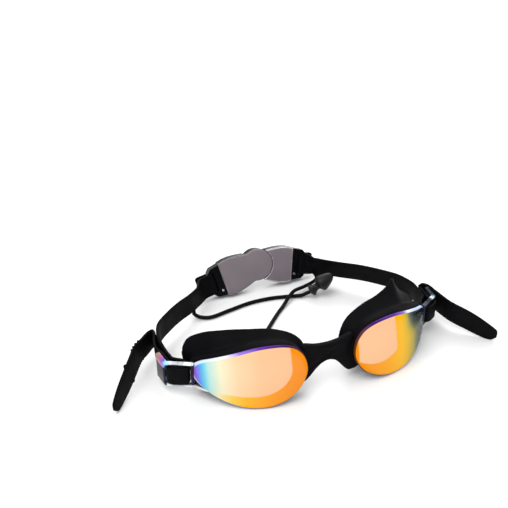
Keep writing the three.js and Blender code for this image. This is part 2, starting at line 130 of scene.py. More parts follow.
def grey(v):
    return (v, v, v)


def noise_field(tree, scale, detail=4, roughness=0.55, stretch=(1, 1, 1)):
    where = node(tree, "ShaderNodeTexCoord")
    mapping = node(tree, "ShaderNodeMapping")
    mapping.inputs["Scale"].default_value = stretch
    tree.links.new(where.outputs["Object"], mapping.inputs["Vector"])
    n = node(tree, "ShaderNodeTexNoise")
    n.inputs["Scale"].default_value = scale
    n.inputs["Detail"].default_value = detail
    n.inputs["Roughness"].default_value = roughness
    tree.links.new(mapping.outputs["Vector"], n.inputs["Vector"])
    return n.outputs["Fac"]


def bump(tree, shader, height, strength, distance):
    n = node(tree, "ShaderNodeBump")
    n.inputs["Strength"].default_value = strength
    n.inputs["Distance"].default_value = distance
    tree.links.new(height, n.inputs["Height"])
    tree.links.new(n.outputs["Normal"], shader.inputs["Normal"])


def grained(name, dark, light, rough, grain, strength, distance, broad=60, **sockets):
    """A one-colour moulded or painted finish: broad mottling, roughness that varies, and a fine grain."""
    m, tree, shader = material(name, dark, **sockets)
    mottle = noise_field(tree, broad, 5)
    tree.links.new(ramp(tree, mottle, [(0.3, dark), (0.7, light)]).outputs["Color"], shader.inputs["Base Color"])
    wear = noise_field(tree, broad * 2.3, 6)
    tree.links.new(ramp(tree, wear, [(0.3, grey(rough[0])), (0.7, grey(rough[1]))]).outputs["Color"],
                   shader.inputs["Roughness"])
    bump(tree, shader, noise_field(tree, grain, 2), strength, distance)
    return m


silicone = grained("silicone_black", (0.0018, 0.0016, 0.0021), (0.0042, 0.0038, 0.0048), (0.5, 0.66), 2600, 0.25,
                   0.00006, Specular_IOR_Level=0.04)
cord_silicone = grained("silicone_cord", (0.003, 0.003, 0.0035), (0.006, 0.0055, 0.0065), (0.4, 0.52), 2200, 0.2,
                        0.00005, Specular_IOR_Level=0.05)
plug_silicone = grained("silicone_plug", (0.0065, 0.006, 0.007), (0.012, 0.0115, 0.013), (0.34, 0.46), 2200, 0.2,
                        0.00005, Specular_IOR_Level=0.2)
gloss_black = grained("plastic_gloss_black", (0.002, 0.002, 0.0025), (0.004, 0.004, 0.005), (0.16, 0.28), 1500, 0.12,
                      0.00004, Specular_IOR_Level=0.07)
satin_grey = grained("plate_satin_grey", (0.215, 0.185, 0.2), (0.25, 0.215, 0.232), (0.36, 0.46), 3200, 0.18,
                     0.00004, Metallic=0.35)
# painted highlight: the plates' rounded edges get a brighter metal that copies the light along their chamfers
plate_edge_painted_highlight = grained("plate_painted_highlight_edge", (0.7, 0.69, 0.71), (0.82, 0.81, 0.83), (0.2, 0.3), 3200, 0.1, 0.00003,
                     Metallic=0.6)
steel = grained("rivet_steel", (0.55, 0.55, 0.57), (0.7, 0.7, 0.72), (0.2, 0.34), 2500, 0.1, 0.00003, Metallic=1.0)


def lens_material(name, along, painted_reflection):
    """Mirror coating over the lens, in base colour: its tint runs along the lens, partly the coating's own colour and
    partly painted reflection; a whitish painted reflection patch covers part of it, and the side rim is painted
    reflection with a painted highlight.
    """
    m, tree, shader = material(name, Metallic=0.1, Specular_IOR_Level=0.02,
                               Coat_Weight=0.1, Coat_Roughness=0.05)
    u = node(tree, "ShaderNodeAttribute", attribute_name="along")
    coat_tint_and_reflection = ramp(tree, u.outputs["Fac"], along)
    # painted reflection: a whitish peach patch mixed over the lens tint inside a sharp mask
    edge = node(tree, "ShaderNodeAttribute", attribute_name="painted_reflection")
    reflection_mask = ramp(tree, edge.outputs["Fac"], [(0.49, grey(0)), (0.515, grey(1))])
    reflection_patch = ramp(tree, u.outputs["Fac"], painted_reflection)
    mix = node(tree, "ShaderNodeMix", data_type="RGBA")
    tree.links.new(reflection_mask.outputs["Color"], mix.inputs["Factor"])
    tree.links.new(coat_tint_and_reflection.outputs["Color"], mix.inputs["A"])
    tree.links.new(reflection_patch.outputs["Color"], mix.inputs["B"])
    rim = node(tree, "ShaderNodeAttribute", attribute_name="rim")
    # the lens's side rim: painted dark violet reflection with a white-blue painted highlight towards the temple end
    rim_reflection_tint = ramp(tree, u.outputs["Fac"], [(0.0, (0.1, 0.03, 0.0)), (0.2, (0.04, 0.008, 0.1)),
                                              (0.45, (0.09, 0.025, 0.28)), (0.62, (0.25, 0.15, 0.6)),
                                              (0.76, (0.8, 0.85, 0.95)), (1.0, (0.5, 0.62, 0.9))])
    rim_mask = ramp(tree, rim.outputs["Fac"], [(0.35, grey(0)), (0.65, grey(1))])
    top = node(tree, "ShaderNodeMix", data_type="RGBA")
    tree.links.new(rim_mask.outputs["Color"], top.inputs["Factor"])
    tree.links.new(mix.outputs["Result"], top.inputs["A"])
    tree.links.new(rim_reflection_tint.outputs["Color"], top.inputs["B"])
    tree.links.new(top.outputs["Result"], shader.inputs["Base Color"])
    cloud = noise_field(tree, 45, 4)
    tree.links.new(ramp(tree, cloud, [(0.3, grey(0.1)), (0.7, grey(0.2))]).outputs["Color"],
                   shader.inputs["Roughness"])
    bump(tree, shader, noise_field(tree, 240, 3), 0.04, 0.00005)
    return m


# lens tints along the two lenses: partly the coating's own colour, partly painted reflection, so each lens gets its
# own colours and the left lens runs into painted dark reflection at its temple end
AMBER, GOLD, STRAW = (0.82, 0.23, 0.0), (0.84, 0.41, 0.0), (0.8, 0.53, 0.06)
# colours of the painted peach and cream reflection on the lenses
PEACH_REFLECTION, CREAM_REFLECTION = (0.84, 0.48, 0.26), (0.82, 0.57, 0.33)
TEMPLE_END = [(0.875, (0.42, 0.66, 0.62)), (0.91, (0.12, 0.55, 0.68)), (0.945, (0.1, 0.25, 0.75)),
              (0.97, (0.28, 0.1, 0.6)), (1.0, (0.12, 0.04, 0.3))]
lens_right_mat = lens_material(
    "lens_mirror_right",
    [(0.0, AMBER), (0.35, (0.86, 0.29, 0.0)), (0.6, GOLD), (0.72, STRAW), (0.82, (0.76, 0.7, 0.36)), *TEMPLE_END],
    [(0.0, PEACH_REFLECTION), (0.45, PEACH_REFLECTION), (0.66, CREAM_REFLECTION), (0.79, (0.76, 0.72, 0.5)), *TEMPLE_END])
lens_left_mat = lens_material(
    "lens_mirror_left",
    [(0.0, AMBER), (0.35, (0.86, 0.36, 0.0)), (0.52, (0.86, 0.45, 0.0)), (0.62, (0.66, 0.42, 0.01)),
     (0.69, (0.4, 0.33, 0.05)), (0.76, (0.14, 0.15, 0.07)), (0.83, (0.05, 0.075, 0.06)), (0.9, (0.015, 0.025, 0.025)),
     (1.0, (0.008, 0.012, 0.016))],
    [(0.0, PEACH_REFLECTION), (0.5, PEACH_REFLECTION), (0.8, (0.86, 0.5, 0.28)), (1.0, CREAM_REFLECTION)])


def lug_material(side, crest_painted_reflection):
    """Mirror coating on the strap lug, in base colour: painted highlights and reflection in tinted bands on its top
    edge, smoky dark below, its own tint deepened by painted dark reflection with a thin painted highlight line, and
    whitish painted light at the bottom.
    """
    m, tree, shader = material(f"lens_lug_mirror_{side}", Metallic=0.1, Specular_IOR_Level=0.06,
                               Coat_Weight=0.12, Coat_Roughness=0.05)
    band = node(tree, "ShaderNodeAttribute", attribute_name="band")
    high = node(tree, "ShaderNodeAttribute", attribute_name="height")
    wobble = node(tree, "ShaderNodeMath", operation="MULTIPLY_ADD")
    wobble.inputs[1].default_value = 0.12
    tree.links.new(noise_field(tree, 160, 2), wobble.inputs[0])
    tree.links.new(band.outputs["Fac"], wobble.inputs[2])
    # painted highlights and reflection in bands on the lug's top edge
    crest_reflection = ramp(tree, wobble.outputs["Value"], crest_painted_reflection)
    # painted dark reflection on the lug's sides, with one thin painted highlight line
    flank_reflection = ramp(tree, wobble.outputs["Value"], [(0.0, (0.1, 0.04, 0.25)), (0.06, (0.03, 0.015, 0.07)),
                                                (0.14, (0.01, 0.01, 0.014)), (0.58, (0.015, 0.015, 0.02)),
                                                (0.62, (0.3, 0.5, 0.8)), (0.66, (0.02, 0.02, 0.03)),
                                                (1.0, (0.01, 0.01, 0.014))])
    # painted light: the bottom of the lug is painted whitish
    low = ramp(tree, high.outputs["Fac"], [(0.05, grey(1)), (0.11, grey(0))])
    pale_painted_light = node(tree, "ShaderNodeMix", data_type="RGBA")
    tree.links.new(low.outputs["Color"], pale_painted_light.inputs["Factor"])
    tree.links.new(flank_reflection.outputs["Color"], pale_painted_light.inputs["A"])
    pale_painted_light.inputs["B"].default_value = (0.86, 0.88, 0.92, 1)
    top = ramp(tree, high.outputs["Fac"], [(0.945, grey(0)), (0.975, grey(1))])
    mix = node(tree, "ShaderNodeMix", data_type="RGBA")
    tree.links.new(top.outputs["Color"], mix.inputs["Factor"])
    tree.links.new(pale_painted_light.outputs["Result"], mix.inputs["A"])
    tree.links.new(crest_reflection.outputs["Color"], mix.inputs["B"])
    tree.links.new(mix.outputs["Result"], shader.inputs["Base Color"])
    tree.links.new(ramp(tree, noise_field(tree, 60, 4), [(0.3, grey(0.12)), (0.7, grey(0.24))]).outputs["Color"],
                   shader.inputs["Roughness"])
    bump(tree, shader, noise_field(tree, 260, 3), 0.05, 0.00005)
    return m


# painted highlight white and painted dark reflection for the lug's top edge
WHITE_HIGHLIGHT, DARK_REFLECTION = (0.93, 0.96, 1.0), (0.05, 0.06, 0.08)
LUG_MATS = {
    "right": lug_material("right", [(0.0, WHITE_HIGHLIGHT), (0.5, WHITE_HIGHLIGHT), (0.64, (0.3, 0.7, 0.95)),
                                    (0.72, (0.3, 0.22, 0.75)), (0.84, (0.8, 0.25, 0.62)),
                                    (0.94, (0.6, 0.45, 0.2)), (1.0, (0.65, 0.35, 0.75))]),
    "left": lug_material("left", [(0.0, (0.5, 0.6, 0.75)), (0.1, DARK_REFLECTION), (0.42, DARK_REFLECTION), (0.52, WHITE_HIGHLIGHT),
                                  (0.6, (0.25, 0.5, 0.6)), (0.68, DARK_REFLECTION), (0.94, DARK_REFLECTION), (1.0, WHITE_HIGHLIGHT)]),
}


def film_material():
    m, tree, shader = material("film_clear", (1.0, 0.97, 0.92), Alpha=0.015, Specular_IOR_Level=0.3)
    tree.links.new(ramp(tree, noise_field(tree, 90, 4), [(0.3, grey(0.05)), (0.7, grey(0.14))]).outputs["Color"],
                   shader.inputs["Roughness"])
    tree.links.new(ramp(tree, noise_field(tree, 50, 3), [(0.3, (1.0, 0.95, 0.88)), (0.7, (1, 1, 0.97))])
                   .outputs["Color"], shader.inputs["Base Color"])
    bump(tree, shader, noise_field(tree, 120, 2), 0.06, 0.0001)
    return m


film_mat = film_material()


# ---- mesh helpers ----

def make(name, verts, faces, mat, smooth=True):
    mesh = bpy.data.meshes.new(name)
    mesh.from_pydata([tuple(v) for v in verts], [], faces)
    mesh.validate()
    obj = bpy.data.objects.new(name, mesh)
    bpy.context.scene.collection.objects.link(obj)
    bm = bmesh.new()
    bm.from_mesh(mesh)
    bmesh.ops.recalc_face_normals(bm, faces=bm.faces)
    bm.to_mesh(mesh)
    bm.free()
    for p in mesh.polygons:
        p.use_smooth = smooth
    obj.data.materials.append(mat)
    return obj


def loft(rings, closed_run=False):
    """Quads between equal rings of points; an open run gets a cap at each end."""
    n = len(rings[0])
    verts = [p for ring in rings for p in ring]
    faces = []
    joins = len(rings) if closed_run else len(rings) - 1
    for r in range(joins):
        a, b = r * n, ((r + 1) % len(rings)) * n
        faces += [(a + i, a + (i + 1) % n, b + (i + 1) % n, b + i) for i in range(n)]
    if not closed_run:
        faces += [tuple(range(n)), tuple(range((len(rings) - 1) * n, len(rings) * n))]
    return verts, faces


def spline(points, samples, closed=False):
    """Catmull-Rom curve through points, evenly spaced in length."""
    pts = [Vector(p) for p in points]
    n = len(pts)
    dense = []
    spans = n if closed else n - 1
    for i in range(spans):
        if closed:
            p0, p1, p2, p3 = pts[i - 1], pts[i], pts[(i + 1) % n], pts[(i + 2) % n]
        else:
            p1, p2 = pts[i], pts[i + 1]
            p0 = pts[i - 1] if i else p1 * 2 - p2
            p3 = pts[i + 2] if i + 2 < n else p2 * 2 - p1
        t0, t1 = 0.0, max((p1 - p0).length, 1e-9) ** 0.5
        t2 = t1 + max((p2 - p1).length, 1e-9) ** 0.5
        t3 = t2 + max((p3 - p2).length, 1e-9) ** 0.5
        for k in range(24):
            t = t1 + (t2 - t1) * k / 24
            a1 = p0 * ((t1 - t) / (t1 - t0)) + p1 * ((t - t0) / (t1 - t0))
            a2 = p1 * ((t2 - t) / (t2 - t1)) + p2 * ((t - t1) / (t2 - t1))
            a3 = p2 * ((t3 - t) / (t3 - t2)) + p3 * ((t - t2) / (t3 - t2))
            b1 = a1 * ((t2 - t) / (t2 - t0)) + a2 * ((t - t0) / (t2 - t0))
            b2 = a2 * ((t3 - t) / (t3 - t1)) + a3 * ((t - t1) / (t3 - t1))
            dense.append(b1 * ((t2 - t) / (t2 - t1)) + b2 * ((t - t1) / (t2 - t1)))
    dense.append(dense[0].copy() if closed else pts[-1].copy())
    reach = [0.0]
    for a, b in zip(dense, dense[1:]):
        reach.append(reach[-1] + (b - a).length)
    count = samples if closed else samples - 1
    out, j = [], 0
    for k in range(samples):
        want = reach[-1] * k / count
        while j < len(reach) - 2 and reach[j + 1] < want:
            j += 1
        share = (want - reach[j]) / max(reach[j + 1] - reach[j], 1e-12)
        out.append(dense[j].lerp(dense[j + 1], min(max(share, 0), 1)))
    return out


def smoothstep(a, b, v):
    t = min(max((v - a) / (b - a), 0), 1)
    return t * t * (3 - 2 * t)


def modified(obj, kind, **settings):
    m = obj.modifiers.new(kind.lower(), kind)
    for key, value in settings.items():
        setattr(m, key, value)
    return m


def applied(obj):
    """Bakes the modifiers of obj into its mesh."""
    bpy.context.view_layer.update()
    mesh = bpy.data.meshes.new_from_object(obj.evaluated_get(bpy.context.evaluated_depsgraph_get()))
    obj.modifiers.clear()
    obj.data = mesh
    return obj


def merged(name, objs):
    """One object from several."""
    bm = bmesh.new()
    mats = []
    for o in objs:
        start = len(bm.faces)
        bm.from_mesh(o.data)
        bm.faces.ensure_lookup_table()
        mat = o.data.materials[0]
        if mat not in mats:
            mats.append(mat)
        for f in bm.faces[start:]:
            f.material_index = mats.index(mat)
    mesh = bpy.data.meshes.new(name)
    bm.to_mesh(mesh)
    bm.free()
    for mat in mats:
        mesh.materials.append(mat)
    for o in objs:
        bpy.data.objects.remove(o, do_unlink=True)
    obj = bpy.data.objects.new(name, mesh)
    bpy.context.scene.collection.objects.link(obj)
    return obj


def edged(obj, width, segments=3, angle=35):
    """Rounds the sharp edges of a solid, in its last material, and keeps its flats flat."""
    modified(obj, "BEVEL", width=width * MM, segments=segments, limit_method="ANGLE",
             angle_limit=math.radians(angle), material=len(obj.data.materials) - 1)
    modified(obj, "WEIGHTED_NORMAL", keep_sharp=True)
    return applied(obj)


def from_cad(name, node_name, mats, width, body, segments=3):
    """A rigid moulding: the CAD solid with its flats cleaned, its corners rounded and its own finish."""
    obj = bpy.data.objects.new(name, frame["nodes"][node_name].data.copy())
    bpy.context.scene.collection.objects.link(obj)
    bm = bmesh.new()
    bm.from_mesh(obj.data)
    bmesh.ops.remove_doubles(bm, verts=bm.verts, dist=1e-6)
    bmesh.ops.dissolve_limit(bm, angle_limit=math.radians(1), verts=bm.verts, edges=bm.edges)
    bmesh.ops.recalc_face_normals(bm, faces=bm.faces)
    bm.to_mesh(obj.data)
    bm.free()
    obj.data.materials.clear()
    for mat in mats:
        obj.data.materials.append(mat)
    for p in obj.data.polygons:
        p.use_smooth, p.material_index = True, 0
    edged(obj, width, segments)
    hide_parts(node_name)
    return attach(obj, body)


def finish_piece(obj, nodes, body):
    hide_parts(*nodes)
    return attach(obj, body)


# ---- cords and ear plugs ----

CORDS = {
    "right": {
        "path": [(-50.2, 94, 3.7), (-48.2, 92, 2), (-44, 89.6, 1.2), (-39.6, 88.6, 1.1), (-26.7, 91.2, 1.1),
                 (-11.6, 94, 1.1), (2.4, 93.8, 1.1), (15.3, 91.2, 1.1), (22.2, 88.6, 1.8), (27.6, 86.9, 4.1)],
        "plug": [(27.6, 86.9, 4.1), (41.2, 85.9, 13.4)],
    },
    "left": {
        "path": [(40.4, 102.4, 2.8), (36.5, 98.6, 3.6), (32, 95.3, 4.6), (25.9, 93.3, 4.6), (18.2, 91.3, 4.4),
                 (12, 86.8, 3), (6.8, 82.4, 1.4), (0.7, 76.7, 1.1), (-9.8, 65.5, 1.1), (-15.6, 58.4, 2.4),
                 (-20.4, 53.3, 5.2)],
        "plug": [(-20.4, 53.3, 5.2), (-35.1, 45.1, 6.1)],
    },
}
CORD_DIAMETER = 2.4
PLUG_PROFILE = [(0, -0.1), (1.2, 0), (1.9, 0.4), (3.1, 0.9), (3.9, 1.4), (4.1, 2.0), (3.7, 2.7), (2.8, 3.8),
                (2.4, 4.8), (2.3, 6.2), (2.8, 6.9), (4.1, 7.6), (5.1, 8.4), (5.4, 9.2), (5.3, 10.4), (5.0, 11.6),
                (4.7, 12.6), (4.3, 13.8), (3.9, 14.8), (3.4, 15.9), (2.8, 16.9), (2.1, 17.8), (1.3, 18.4),
                (0, 18.8)]


def add_plug(side):
    start, end = (at(*p) for p in CORDS[side]["plug"])
    axis = (end - start).normalized()
    turn = Vector((0, 0, 1)).rotation_difference(axis)
    profile = spline([(r, h, 0) for r, h in PLUG_PROFILE], 90)
    rings = []
    for p in profile[1:-1]:
        ring = []
        for i in range(64):
            a = i / 64 * 2 * math.pi
            ring.append(start + turn @ (Vector((p.x * math.cos(a), p.x * math.sin(a), p.y)) * MM))
        rings.append(ring)
    obj = make(f"ear_plug_{side}", *loft(rings), plug_silicone)
    return finish_piece(obj, [f"ear_plug_{side}"], "goggles")


def add_cord(side):
    path = [(x, y, max(z, CORD_DIAMETER / 2 + 0.02)) for x, y, z in CORDS[side]["path"]]
    points = spline([at(*p) for p in path], 90)
    data = bpy.data.curves.new(f"ear_plug_cord_{side}", "CURVE")
    data.dimensions = "3D"
    data.bevel_depth = CORD_DIAMETER / 2 * MM
    data.bevel_resolution = 5
    data.use_fill_caps = True
    line = data.splines.new("POLY")
    line.points.add(len(points) - 1)
    for target, p in zip(line.points, points):
        target.co = (*p, 1)
    data.materials.append(cord_silicone)
    obj = bpy.data.objects.new(f"ear_plug_cord_{side}", data)
    bpy.context.scene.collection.objects.link(obj)
    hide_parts(f"ear_plug_cord_{side}")
    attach(obj, "goggles")
    add_plug(side)


for cord_side in CORDS:
    add_cord(cord_side)


# ---- lenses ----

LENS_OUTLINE = [(13.9, 18.8), (15.5, 26.3), (19.9, 31.6), (26.2, 34.5), (34.1, 35.6), (42.5, 35), (53, 31.8),
                (61.9, 28.1), (68.7, 24.3), (72.2, 20.2), (72.9, 16.5), (71.4, 11.8), (66.6, 7.1), (59.8, 3.4),
                (51.9, 0.9), (43.5, 0), (35, 0.6), (26.4, 3.2), (19.6, 7.6), (15.6, 13)]
LENS_CENTRE = (42.3, 18)
LENS_NEAR, LENS_LENGTH = 14, 59
WRAP_RADIUS, WRAP_START, LENS_LEAN = 60, 25, 0.2
LENS_THICKNESS, LENS_BULGE = 2.2, 2.2
AROUND = 200
outline = [(p.x, p.y) for p in spline([(x, z, 0) for x, z in LENS_OUTLINE], AROUND, closed=True)]


def wrap(x, z):
    across = max(x - WRAP_START, 0)
    return WRAP_RADIUS - math.sqrt(max(WRAP_RADIUS ** 2 - across ** 2, 1)) + LENS_LEAN * (z - LENS_CENTRE[1])


def inset_point(i, inset):
    x, z = outline[i]
    dx, dz = x - LENS_CENTRE[0], z - LENS_CENTRE[1]
    scale = 1 - inset / math.hypot(dx, dz)
    return LENS_CENTRE[0] + dx * scale, LENS_CENTRE[1] + dz * scale, scale


def lens_ring(share, inset, depth, sign):
    ring = []
    for i in range(AROUND):
        x, z, out = inset_point(i, inset)
        x = LENS_CENTRE[0] + (x - LENS_CENTRE[0]) * share
        z = LENS_CENTRE[1] + (z - LENS_CENTRE[1]) * share
        out *= share
        ring.append(at(sign * x, wrap(x, z) + depth - LENS_BULGE * (1 - out ** 2), z))
    return ring


def painted_reflection_field(side, x, z):
    """Above 0.5 inside the painted reflection patch on the lens, below it outside."""
    if side == "right":
        reach = math.hypot(min(x - 46, 0) / 22, min(z - 22, 0) / 13.5)
        return 0.5 + (1 - reach) * 0.9
    floor = 11.5 + 5 * ((x - 27) / 14) ** 2
    return 0.5 + min(40.5 - x, z - floor, x - 16.4) * 0.05


def add_lens(side):
    sign = 1 if side == "left" else -1
    shares = [k / 26 for k in range(1, 26)]
    rings = [lens_ring(s, 1.4, 0, sign) for s in shares]
    rings += [lens_ring(1, 1.4, 0, sign), lens_ring(1, 1.0, 0.08, sign), lens_ring(1, 0.35, 0.55, sign),
              lens_ring(1, 0.06, 0.95, sign), lens_ring(1, 0, 1.3, sign), lens_ring(1, 0.1, 2.0, sign),
              lens_ring(1, 0.5, 2.2, sign)]
    rings += [lens_ring(s, 0.5, LENS_THICKNESS, sign) for s in reversed(shares[::3])]
    mat = lens_left_mat if side == "left" else lens_right_mat
    shell = make("shell", *loft(rings), mat)
    mesh = shell.data
    fields = {name: mesh.attributes.new(name, "FLOAT", "POINT") for name in ("along", "painted_reflection", "rim")}
    first_rim = (len(shares) + 2) * AROUND
    for v in mesh.vertices:
        p = (v.co - OFFSET) / MM
        x, z = sign * p.x, p.z
        # the left lens's painted dark reflection sets in early at its upper temple corner
        lean = 0.22 * smoothstep(44, 60, x) * smoothstep(18, 30, z) if side == "left" else 0
        fields["along"].data[v.index].value = min(max((x - LENS_NEAR) / LENS_LENGTH + lean, 0), 1)
        fields["painted_reflection"].data[v.index].value = min(max(painted_reflection_field(side, x, z), 0), 1)
        fields["rim"].data[v.index].value = 1.0 if v.index >= first_rim else 0.0
    return merged(f"lens_{side}", [shell, add_lug(side)])


LUG_PLAN = [Vector((72.9, 24)), Vector((85.1, 32.7)), Vector((86.6, 43.1))]
LUG_LEVEL, LUG_FALL, LUG_HALF_DEPTH = 12.6, 0.15, 1.2
LUG_RAIL, SLOT_HALF = 1.5, 6.3
LUG_START, LUG_END = -1.5, 25.4
BARS = [(LUG_START, 0.3), (3.4, 11.8), (15.2, LUG_END)]
# the painted highlight bands run along this length, and the painted highlight on the top broadens on the far leg
BAND_LENGTH, BROADER_FROM, BROADER_TO, BROADER_BY = 25, 14, 16, 0.2
FIRST_LEG = (LUG_PLAN[1] - LUG_PLAN[0]).length


def lug_plan(along, out):
    """Plan position at a distance along the lug and out from its middle, rounded at its bend."""
    first = (LUG_PLAN[1] - LUG_PLAN[0]).normalized()
    second = (LUG_PLAN[2] - LUG_PLAN[1]).normalized()
    turn = smoothstep(FIRST_LEG - 1.6, FIRST_LEG + 1.6, along)
    run = first.lerp(second, turn).normalized()
    if along > FIRST_LEG:
        spot = LUG_PLAN[1] + second * (along - FIRST_LEG)
    else:
        spot = LUG_PLAN[0] + first * along
    return spot + Vector((run.y, -run.x)) * out


def lug_level(x):
    return LUG_LEVEL + LUG_FALL * (LUG_PLAN[1].x - x)


def lug_point(side, along, out, up):
    sign = 1 if side == "left" else -1
    p = lug_plan(along, out)
    return at(sign * p.x, p.y, lug_level(p.x) + up)


def lug_bar(side, start, end, low, high, corner=0.45):
    """A rounded bar of the lug between two distances along it and two heights."""
    steps = max(int((end - start) / 0.6), 2)
    rings = []
    for k in range(steps + 1):
        s = start + (end - start) * k / steps
        cut = corner * (1 if k in (0, steps) else 0)
        ring = []
        for out, up in rounded_box(LUG_HALF_DEPTH - cut, (high - low) / 2 - cut, corner):
            ring.append(lug_point(side, s, out, (low + high) / 2 + up))
        rings.append(ring)
    return make("lug", *loft(rings), LUG_MATS[side])


def rounded_box(half_x, half_y, corner, per_corner=4):
    points = []
    for cx, cy, start in ((1, 1, 0), (-1, 1, 90), (-1, -1, 180), (1, -1, 270)):
        for i in range(per_corner + 1):
            a = math.radians(start + 90 * i / per_corner)
            points.append((cx * (half_x - corner) + corner * math.cos(a),
                           cy * (half_y - corner) + corner * math.sin(a)))
    return points


def lug_web(side):
    """The web that fills the corner between the lug's root and the lens edge."""
    sign = 1 if side == "left" else -1
    front = [(66.4, 14.2, 7.6), (71.7, 22.2, 17), (72.0, 22.6, 7.2), (71.2, 21.2, 6.2)]
    rings = []
    for depth in (0.0, 0.35, 0.85, 1.2):
        rings.append([at(sign * (x - depth), y + depth * 1.2, z) for x, y, z in front])
    return make("lug_web", *loft(rings), LUG_MATS[side])


def add_lug(side):
    """Two rails joined by three bars, with a web at the root."""
    rails = SLOT_HALF + LUG_RAIL
    parts = [
        lug_bar(side, LUG_START, LUG_END, SLOT_HALF, rails),
        lug_bar(side, LUG_START, LUG_END, -rails, -SLOT_HALF),
        *(lug_bar(side, start, end, -rails, rails) for start, end in BARS),
        lug_web(side),
    ]
    whole = merged("lug", parts)
    tint_lug(whole, side)
    return whole


def tint_lug(obj, side):
    """Stores how far along the lug and how high on it each corner of its mesh is, for its painted highlights and
    reflection.
    """
    sign = 1 if side == "left" else -1
    mesh = obj.data
    band = mesh.attributes.new("band", "FLOAT", "POINT")
    height = mesh.attributes.new("height", "FLOAT", "POINT")
    for v in mesh.vertices:
        p = (v.co - OFFSET) / MM
        x = sign * p.x
        reach = math.hypot(x - LUG_PLAN[0].x, p.y - LUG_PLAN[0].y)
        band.data[v.index].value = min(max(reach / BAND_LENGTH, 0), 1)
        lifted = 0.5 + 0.5 * (p.z - lug_level(x)) / (SLOT_HALF + LUG_RAIL)
        if side == "right":
            lifted += BROADER_BY * smoothstep(BROADER_FROM, BROADER_TO, reach)
        height.data[v.index].value = max(lifted, 0)


def add_film(side):
    sign = 1 if side == "left" else -1
    shares = [k / 10 for k in range(1, 11)]
    front = [lens_ring(s, 2.6, -0.65, sign) for s in shares]
    back = [lens_ring(s, 2.6, -0.5, sign) for s in reversed(shares)]
    obj = make(f"lens_film_{side}", *loft(front + back), film_mat)
    return finish_piece(obj, [f"lens_film_{side}"], "goggles")


for lens_side in ("left", "right"):
    finish_piece(add_lens(lens_side), [f"lens_{lens_side}"], "goggles")
    add_film(lens_side)


# ---- gasket ----

FACE_EDGE = {
    "right": [(10.6, 14, 19.5), (11.6, 14.6, 26.6), (16.4, 17, 31.4), (27, 20, 35.6), (40, 22.6, 37.4),
              (53, 26, 38), (65, 30, 36.8), (72, 33.4, 32.4), (74.8, 35.2, 24), (73.8, 35.2, 15), (68.6, 33, 7),
              (60, 29, 2), (46.6, 25, 0.6), (33.6, 22, 0.6), (21.6, 18, 4.6), (13.6, 15, 12)],
    "left": [(10.2, 14, 19.5), (11.4, 15, 27.4), (16.4, 17.4, 33), (27, 20.5, 37), (38, 23.4, 38.6),
             (46.5, 27, 40.2), (53, 31.4, 42), (56.2, 33.4, 36.4), (61.4, 35.2, 29.6), (71, 36.2, 21),
             (73.2, 35.2, 14), (68.6, 33, 7), (60, 29, 2), (46.6, 25, 0.6), (33.6, 22, 0.6), (21.6, 18, 4.6),
             (13.6, 15, 12)],
}
# (share of the way back, share of the way out to the face edge, how far inside)
CUP_WALL = [(0, 0, 1.6), (0.0, 0, 0.9), (0.05, 0.0, 0.4), (0.14, 0.02, 0.3), (0.24, 0.05, 0.2), (0.29, 0.07, 0.3),
            (0.33, 0.1, 1.1), (0.4, 0.18, 1.8), (0.52, 0.36, 2.0), (0.66, 0.58, 1.5), (0.8, 0.78, 0.8),
            (0.92, 0.93, 0.15), (0.98, 0.99, 0), (1.0, 1.0, 0.4), (1.0, 1.0, 1.2), (0.96, 0.93, 2.0),
            (0.84, 0.7, 3.0), (0.68, 0.4, 3.9), (0.5, 0.2, 4.4), (0.3, 0.08, 4.4), (0.12, 0.02, 4.2), (0, 0, 4.0)]
BRIDGE = [(0, 27.8), (7, 28.3), (15, 29.6), (16.4, 25), (16.4, 20), (16.4, 16), (18, 11.6), (21, 7.6), (19, 5.2),
          (13.6, 4.8), (10.6, 7.6), (7.4, 11.8), (4, 15.2), (0, 16.6)]


def add_cup(side):
    sign = 1 if side == "left" else -1
    edge = spline(FACE_EDGE[side], AROUND, closed=True)
    rings = []
    for back, out, inside in CUP_WALL:
        ring = []
        for i, face in enumerate(edge):
            x, z, _ = inset_point(i, inside * (1 - out))
            rim = wrap(*outline[i]) + LENS_THICKNESS + 0.25
            drawn = Vector((LENS_CENTRE[0], face.y, LENS_CENTRE[1])) - face
            p = Vector((x, rim, z)).lerp(face, out) + drawn.normalized() * (inside * out)
            p.y = rim + (face.y - rim) * back
            ring.append(at(sign * p.x, p.y, max(p.z, 0.25)))
        rings.append(ring)
    return make("cup", *loft(rings, closed_run=True), silicone)


def add_bridge():
    loop = BRIDGE + [(-x, z) for x, z in reversed(BRIDGE[1:-1])]
    curve = spline([(x, z, 0) for x, z in loop], 160, closed=True)
    rings = []
    for inset, y in ((1.6, 5.2), (0.6, 5.5), (0.1, 6.3), (0, 7.4), (0.1, 8.5), (0.6, 9.4), (1.6, 9.8)):
        ring = []
        for k, p in enumerate(curve):
            tangent = (curve[(k + 1) % len(curve)] - curve[k - 1]).normalized()
            inward = Vector((tangent.y, -tangent.x, 0))
            q = p + inward * inset
            bow = 1.2 * (1 - min(abs(q.x) / 15, 1) ** 2)
            ring.append(at(q.x, y - bow, q.y))
        rings.append(ring)
    return make("bridge", *loft(rings), silicone)


gasket = merged("gasket", [add_cup("right"), add_cup("left"), add_bridge()])
modified(gasket, "REMESH", mode="VOXEL", voxel_size=0.42 * MM, use_smooth_shade=True)
modified(gasket, "SMOOTH", factor=0.5, iterations=5)
applied(gasket)
gasket.data.materials.clear()
gasket.data.materials.append(silicone)
for face_poly in gasket.data.polygons:
    face_poly.use_smooth = True
finish_piece(gasket, ["gasket"], "goggles")


# ---- straps ----

